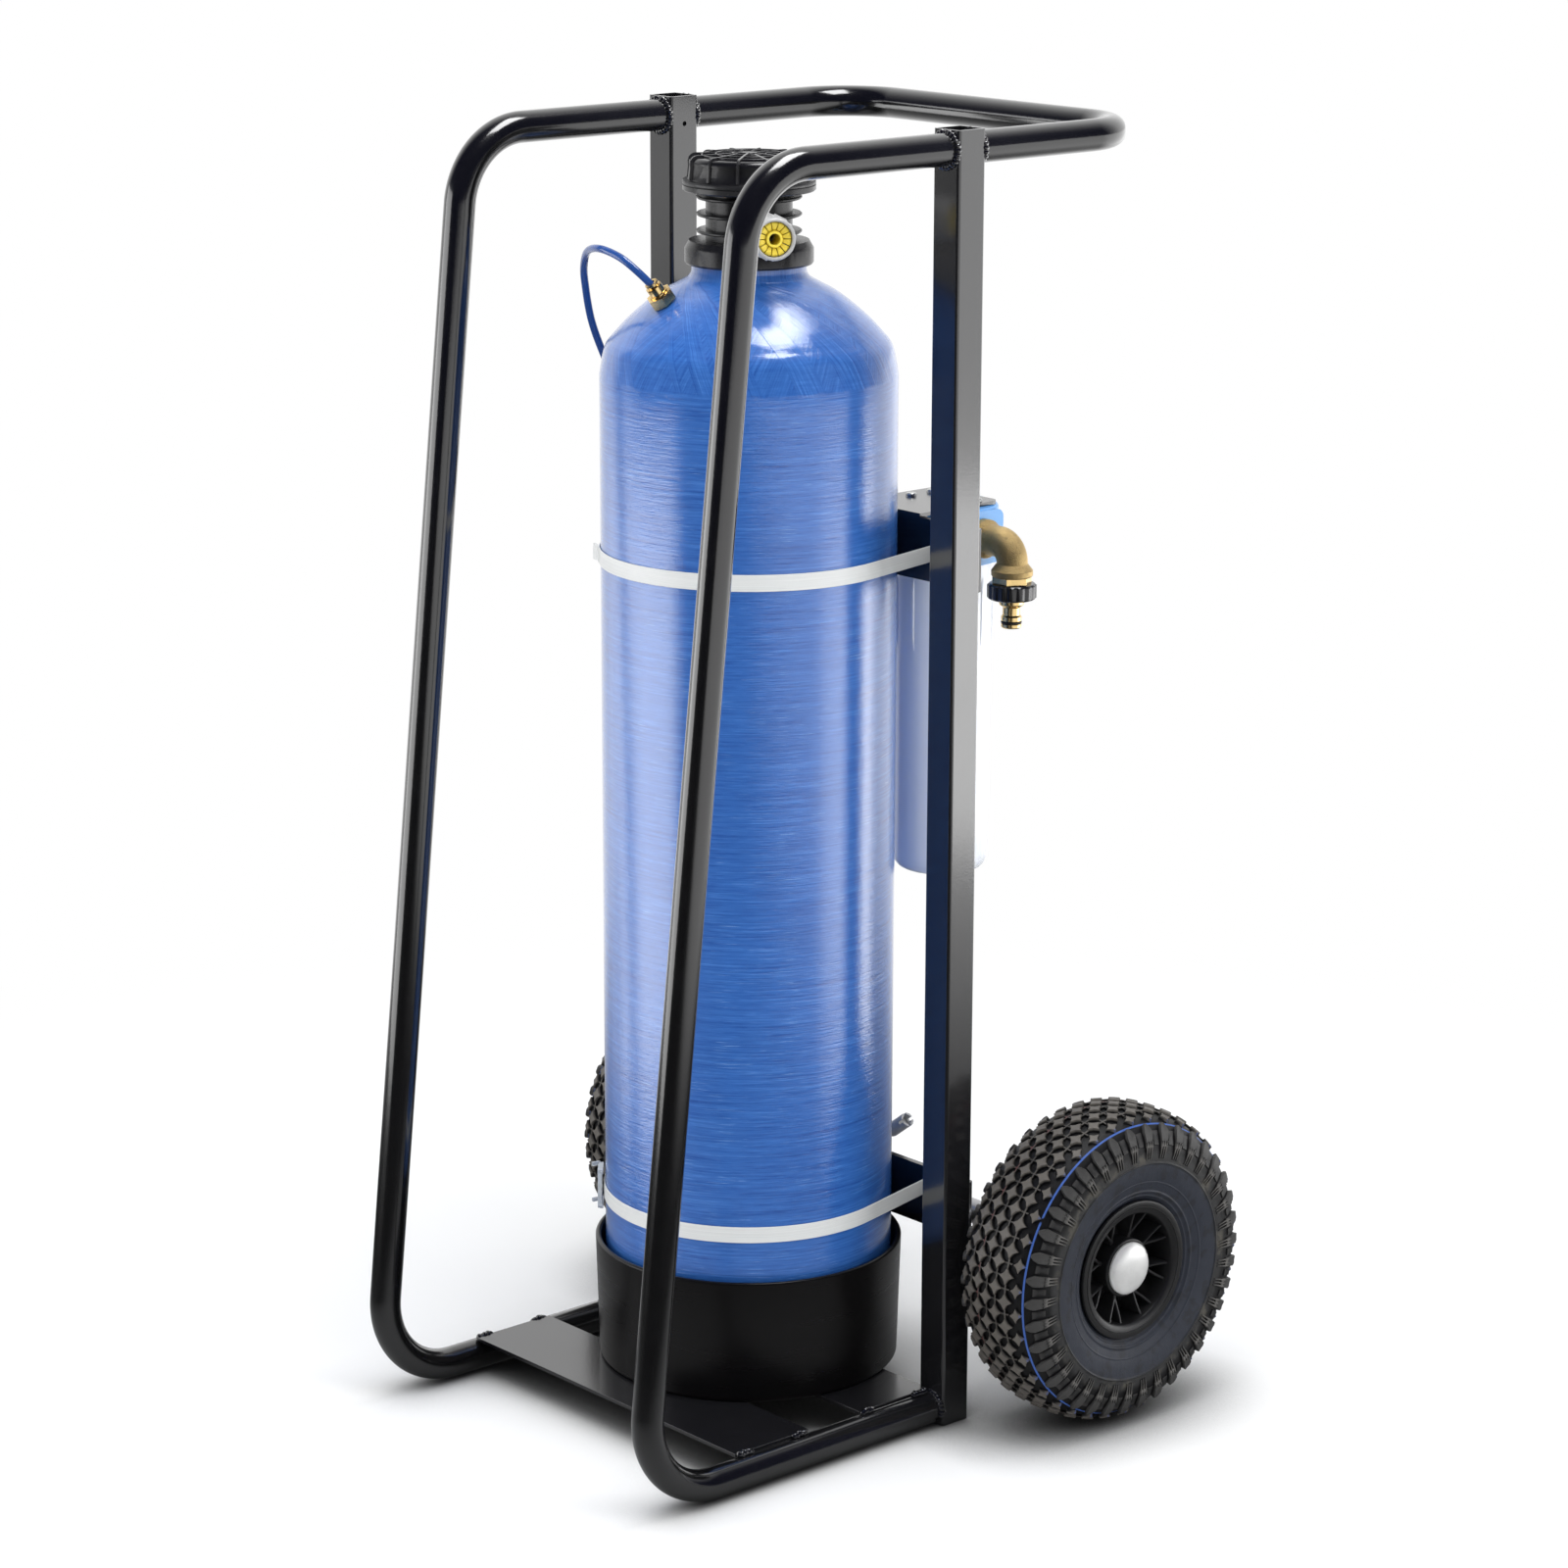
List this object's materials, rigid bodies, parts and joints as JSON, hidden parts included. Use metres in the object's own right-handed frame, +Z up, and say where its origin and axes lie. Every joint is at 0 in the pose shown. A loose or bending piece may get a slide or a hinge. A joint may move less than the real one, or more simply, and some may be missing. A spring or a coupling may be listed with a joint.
{
  "type": "wheeled water treatment cylinder trolley",
  "caption": "Blue pressure cylinder with a screw lid head, prefilter and hose fittings, strapped into a black tube trolley with a grip bar and pneumatic wheels.",
  "frame": {"origin": "the floor point under the middle of the overall box, which is 20.25 mm behind the cylinder axis", "axes": "+Z up, +X along the wheel axle to the operator's right seen from the front, -Y the sloping front tubes, +Y the wheels and grip bar"},
  "size_m": [0.5574, 0.5584, 1.033],
  "materials": {
    "frame_black": "semi-gloss black powder coat",
    "zinc": "bright zinc plate",
    "axle_steel": "drawn steel bar",
    "tyre_rubber": "black tyre rubber",
    "tube_rubber": "butyl inner tube",
    "rim_plastic": "satin black polypropylene",
    "bearing_nylon": "natural nylon bush",
    "vessel_blue": "gloss wound glass-fibre shell, blue",
    "liner_pe": "polyethylene liner",
    "boot_black": "satin black moulded plastic",
    "head_black": "black glass-filled plastic",
    "resin": "ion exchange beads",
    "white_pipe": "white plastic pipe",
    "seal_rubber": "black rubber seal",
    "grey_plastic": "light grey plastic",
    "yellow_plastic": "yellow plastic",
    "brass_cast": "cast brass, matt",
    "brass_bright": "turned bright brass",
    "hose_blue": "blue polyurethane tube",
    "hose_black": "black rubber hose",
    "filter_blue": "light blue moulded plastic",
    "bowl_white": "white moulded plastic",
    "cartridge_white": "spun fibre filter element",
    "strap_white": "woven polyester strap",
    "buckle_clear": "translucent plastic",
    "knob_black": "black moulded nut"
  },
  "bodies": {
    "trolley": {"hoop_left": "frame_black", "hoop_right": "frame_black", "handle_loop": "frame_black", "post_left": "frame_black", "post_right": "frame_black", "base_strip_front": "frame_black", "base_strip_rear": "frame_black", "upper_cross_flat": "frame_black", "lower_cross_flat": "frame_black", "axle_arm_left": "frame_black", "axle_arm_right": "frame_black", "filter_bracket": "frame_black", "axle": "axle_steel", "axle_spacers": "axle_steel", "axle_washers": "zinc", "axle_caps": "zinc", "vessel_shell": "vessel_blue", "vessel_liner": "liner_pe", "vessel_boot": "boot_black", "resin_bed": "resin", "riser_tube": "white_pipe", "bottom_strainer": "white_pipe", "head_body": "head_black", "head_gasket": "seal_rubber", "coupling_body": "grey_plastic", "coupling_claws": "yellow_plastic", "hose_elbow": "head_black", "filter_hose_tail": "brass_bright", "transfer_hose": "hose_black", "hose_clamps": "zinc", "vent_connector": "brass_bright", "vent_hose": "hose_blue", "vent_hose_end": "grey_plastic", "bracket_screws": "zinc", "filter_head": "filter_blue", "brass_elbow": "brass_cast", "hex_adapter": "brass_bright", "quick_nipple": "brass_bright", "nipple_o_ring": "seal_rubber", "strap_upper": "strap_white", "strap_lower": "strap_white", "strap_buckles": "buckle_clear"},
    "wheel_left": {"tyre_left": "tyre_rubber", "inner_tube_left": "tube_rubber", "rim_left": "rim_plastic", "hub_bearings_left": "bearing_nylon"},
    "wheel_right": {"tyre_right": "tyre_rubber", "inner_tube_right": "tube_rubber", "rim_right": "rim_plastic", "hub_bearings_right": "bearing_nylon"},
    "lid_lift": {"lid_seal": "seal_rubber"},
    "lid_cap": {"lid": "head_black"},
    "bowl_drop": {"bowl_seal": "seal_rubber", "filter_cartridge": "cartridge_white"},
    "bowl": {"filter_bowl": "bowl_white"},
    "union_nut": {"ring_nut": "knob_black"},
    "coupling_collar": {"coupling_sleeve": "grey_plastic"},
    "coupling_stop": {"coupling_valve": "yellow_plastic"},
    "vent_release": {"vent_release_ring": "brass_bright"}
  },
  "joints": [
    {"name": "wheel_left_spin", "type": "hinge", "parent": "trolley", "child": "wheel_left", "pos_m": [-0.236, 0.14925, 0.13], "axis": [1, 0, 0], "continuous": true},
    {"name": "wheel_right_spin", "type": "hinge", "parent": "trolley", "child": "wheel_right", "pos_m": [0.236, 0.14925, 0.13], "axis": [1, 0, 0], "continuous": true},
    {"name": "lid_rise", "type": "slide", "parent": "trolley", "child": "lid_lift", "axis": [0, 0, 1], "range_m": [0, 0.0076]},
    {"name": "lid_turn", "type": "hinge", "parent": "lid_lift", "child": "lid_cap", "pos_m": [0, -0.02025, 0.98], "axis": [0, 0, 1], "range_deg": [0, 900]},
    {"name": "bowl_lower", "type": "slide", "parent": "trolley", "child": "bowl_drop", "axis": [0, 0, -1], "range_m": [0, 0.0061]},
    {"name": "bowl_turn", "type": "hinge", "parent": "bowl_drop", "child": "bowl", "pos_m": [0.0375, 0.15475, 0.6], "axis": [0, 0, -1], "range_deg": [0, 720]},
    {"name": "union_nut_turn", "type": "hinge", "parent": "trolley", "child": "union_nut", "pos_m": [0.1165, 0.15475, 0.657], "axis": [0, 0, -1], "range_deg": [0, 1080]},
    {"name": "collar_slide", "type": "slide", "parent": "trolley", "child": "coupling_collar", "axis": [-0.8788, 0.4772, 0], "range_m": [0, 0.004]},
    {"name": "stop_valve_slide", "type": "slide", "parent": "trolley", "child": "coupling_stop", "axis": [-0.8788, 0.4772, 0], "range_m": [0, 0.0035]},
    {"name": "vent_release_press", "type": "slide", "parent": "trolley", "child": "vent_release", "axis": [0.122, 0.5981, -0.7921], "range_m": [0, 0.0013]}
  ],
  "couplings": [
    {"joint": "lid_rise", "follows": "lid_turn", "m_per_rad": 0.00047746},
    {"joint": "bowl_lower", "follows": "bowl_turn", "m_per_rad": 0.00047746}
  ]
}
